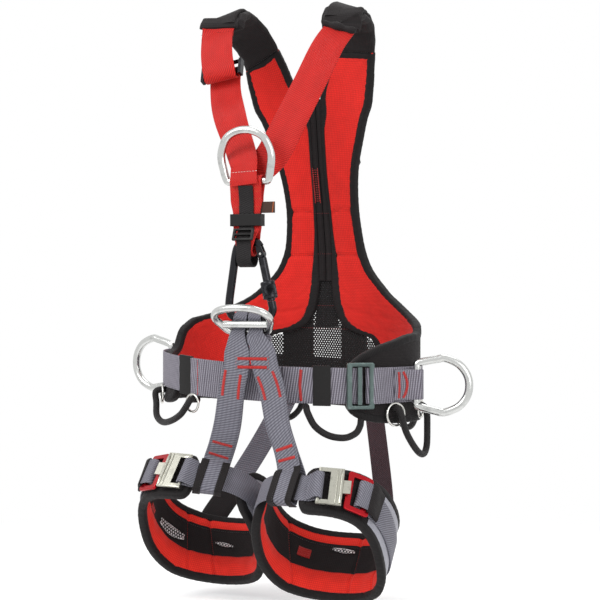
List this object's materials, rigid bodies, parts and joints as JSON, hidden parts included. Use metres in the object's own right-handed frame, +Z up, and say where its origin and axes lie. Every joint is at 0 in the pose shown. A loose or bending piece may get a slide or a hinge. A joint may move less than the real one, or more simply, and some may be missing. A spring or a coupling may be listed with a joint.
{
  "type": "safety harness",
  "caption": "Full-body work-at-height harness with padded back, chest straps, belt, gear loops, attachment rings, a carabiner and two padded leg loops.",
  "frame": {"origin": "centre of the waist opening, at the mean height of the belt", "axes": "+Z up as worn, the wearer faces -Y, the wearer's left is +X"},
  "size_m": [0.5084, 0.3336, 0.7672],
  "materials": {
    "red_padding": "woven polyester over foam",
    "black_fabric": "woven polyester",
    "black_mesh": "open spacer mesh",
    "red_webbing": "polyester webbing",
    "grey_webbing": "polyester webbing",
    "forged_aluminium": "forged, tumbled",
    "black_anodised": "anodised aluminium",
    "steel": "plated",
    "dark_steel": "dark coated steel",
    "red_anodised": "anodised",
    "black_plastic": "matte",
    "black_cord": "covered tube",
    "brown_label": "woven label"
  },
  "bodies": {
    "harness": {"pad_right": "red_padding", "pad_left": "red_padding", "spine_strip": "black_fabric", "lumbar_mesh": "black_mesh", "shoulder_cover_right": "black_fabric", "shoulder_cover_left": "black_fabric", "chest_strap_right": "red_webbing", "chest_strap_left": "red_webbing", "shoulder_webbing_right": "red_webbing", "shoulder_adjuster_right": "dark_steel", "back_webbing_right": "red_webbing", "back_webbing_left": "red_webbing", "dorsal_plate": "black_plastic", "sternal_link": "red_webbing", "retainer_strap": "black_fabric", "retainer_buckle": "black_plastic", "retainer_keeper": "black_fabric", "marker_tag": "brown_label", "carabiner_body": "black_anodised", "gate_pin": "steel", "belt_webbing": "grey_webbing", "belt_tail": "grey_webbing", "belt_keeper_left": "black_fabric", "belt_keeper_right": "black_fabric", "belt_fold_right": "grey_webbing", "waist_buckle_frame": "dark_steel", "side_tab_left": "grey_webbing", "side_tab_right": "grey_webbing", "gear_loop_right": "black_cord", "gear_loop_left_front": "black_cord", "gear_loop_left_side": "black_cord", "gear_loop_rear_right": "black_cord", "gear_loop_rear_left": "black_cord", "riser_right": "grey_webbing", "riser_left": "grey_webbing", "leg_pad_right": "red_padding", "leg_pad_left": "red_padding", "leg_webbing_right": "grey_webbing", "leg_webbing_left": "grey_webbing", "leg_buckle_frame_right": "red_anodised", "leg_buckle_frame_left": "red_anodised", "rear_strap_right": "black_fabric", "rear_strap_left": "black_fabric", "leg_sleeve_right": "black_fabric", "leg_sleeve_left": "black_fabric"},
    "sternal_ring": {"sternal_ring": "forged_aluminium"},
    "ventral_ring": {"ventral_ring": "forged_aluminium"},
    "dorsal_ring": {"dorsal_ring": "forged_aluminium"},
    "side_ring_left": {"side_ring_left": "forged_aluminium"},
    "side_ring_right": {"side_ring_right": "forged_aluminium"},
    "carabiner_gate": {"carabiner_gate": "black_anodised"},
    "carabiner_sleeve": {"carabiner_sleeve": "black_anodised"},
    "leg_buckle_plate_right": {"leg_buckle_plate_right": "steel"},
    "leg_buckle_plate_left": {"leg_buckle_plate_left": "steel"},
    "waist_buckle_bar": {"waist_buckle_bar": "steel"},
    "accessory_ring_right_side": {"accessory_ring_right_side": "steel"},
    "accessory_ring_right_front": {"accessory_ring_right_front": "steel"},
    "accessory_ring_left_front": {"accessory_ring_left_front": "steel"},
    "accessory_ring_left_side": {"accessory_ring_left_side": "steel"}
  },
  "joints": [
    {"name": "sternal_ring_swing", "type": "hinge", "parent": "harness", "child": "sternal_ring", "pos_m": [0, -0.137, 0.259], "axis": [1, 0, 0], "range_deg": [0, 80]},
    {"name": "ventral_ring_swing", "type": "hinge", "parent": "harness", "child": "ventral_ring", "pos_m": [0.003, -0.13928, 0.0715], "axis": [1, 0, 0], "range_deg": [0, 30]},
    {"name": "dorsal_ring_swing", "type": "hinge", "parent": "harness", "child": "dorsal_ring", "pos_m": [0, 0.11544, 0.32452], "axis": [1, 0, 0], "range_deg": [0, 100]},
    {"name": "side_ring_left_swing", "type": "hinge", "parent": "harness", "child": "side_ring_left", "pos_m": [0.18464, -0.02711, 0.00436], "axis": [0.029, 0.0078, 0.9996], "range_deg": [-46, 46]},
    {"name": "side_ring_right_swing", "type": "hinge", "parent": "harness", "child": "side_ring_right", "pos_m": [-0.1867, 0.01732, 0.02248], "axis": [0.0386, -0.0103, 0.9992], "range_deg": [-50, 50]},
    {"name": "gate_pivot", "type": "hinge", "parent": "harness", "child": "carabiner_gate", "pos_m": [0.0205, -0.14, 0.168], "axis": [0, 1, 0], "range_deg": [0, 20], "stiffness_Nm_per_rad": 0.05, "springref_deg": -17.19},
    {"name": "sleeve_travel", "type": "slide", "parent": "carabiner_gate", "child": "carabiner_sleeve", "axis": [0.2215, 0, -0.9752], "range_m": [0, 0.0065]},
    {"name": "leg_buckle_right_open", "type": "hinge", "parent": "harness", "child": "leg_buckle_plate_right", "pos_m": [-0.0841, -0.14471, -0.10506], "axis": [0.0716, 0.6326, 0.7712], "range_deg": [0, 60]},
    {"name": "leg_buckle_left_open", "type": "hinge", "parent": "harness", "child": "leg_buckle_plate_left", "pos_m": [0.11176, -0.17427, -0.11132], "axis": [0.1307, -0.5998, -0.7894], "range_deg": [0, 60]},
    {"name": "waist_bar_travel", "type": "slide", "parent": "harness", "child": "waist_buckle_bar", "axis": [-0.7842, -0.6205, 0], "range_m": [-0.004, 0.004]},
    {"name": "accessory_ring_right_side_swing", "type": "hinge", "parent": "harness", "child": "accessory_ring_right_side", "pos_m": [-0.1602, -0.06074, -0.0076], "axis": [-0.8229, -0.5682, 0], "range_deg": [-25, 25]},
    {"name": "accessory_ring_right_front_swing", "type": "hinge", "parent": "harness", "child": "accessory_ring_right_front", "pos_m": [-0.08286, -0.12502, -0.01563], "axis": [-0.3453, -0.9385, 0], "range_deg": [-25, 25]},
    {"name": "accessory_ring_left_front_swing", "type": "hinge", "parent": "harness", "child": "accessory_ring_left_front", "pos_m": [0.16551, -0.05228, -0.02493], "axis": [0.8668, -0.4986, 0], "range_deg": [-25, 25]},
    {"name": "accessory_ring_left_side_swing", "type": "hinge", "parent": "harness", "child": "accessory_ring_left_side", "pos_m": [0.17977, 0.00233, -0.02381], "axis": [0.9997, 0.0236, 0], "range_deg": [-25, 25]}
  ]
}
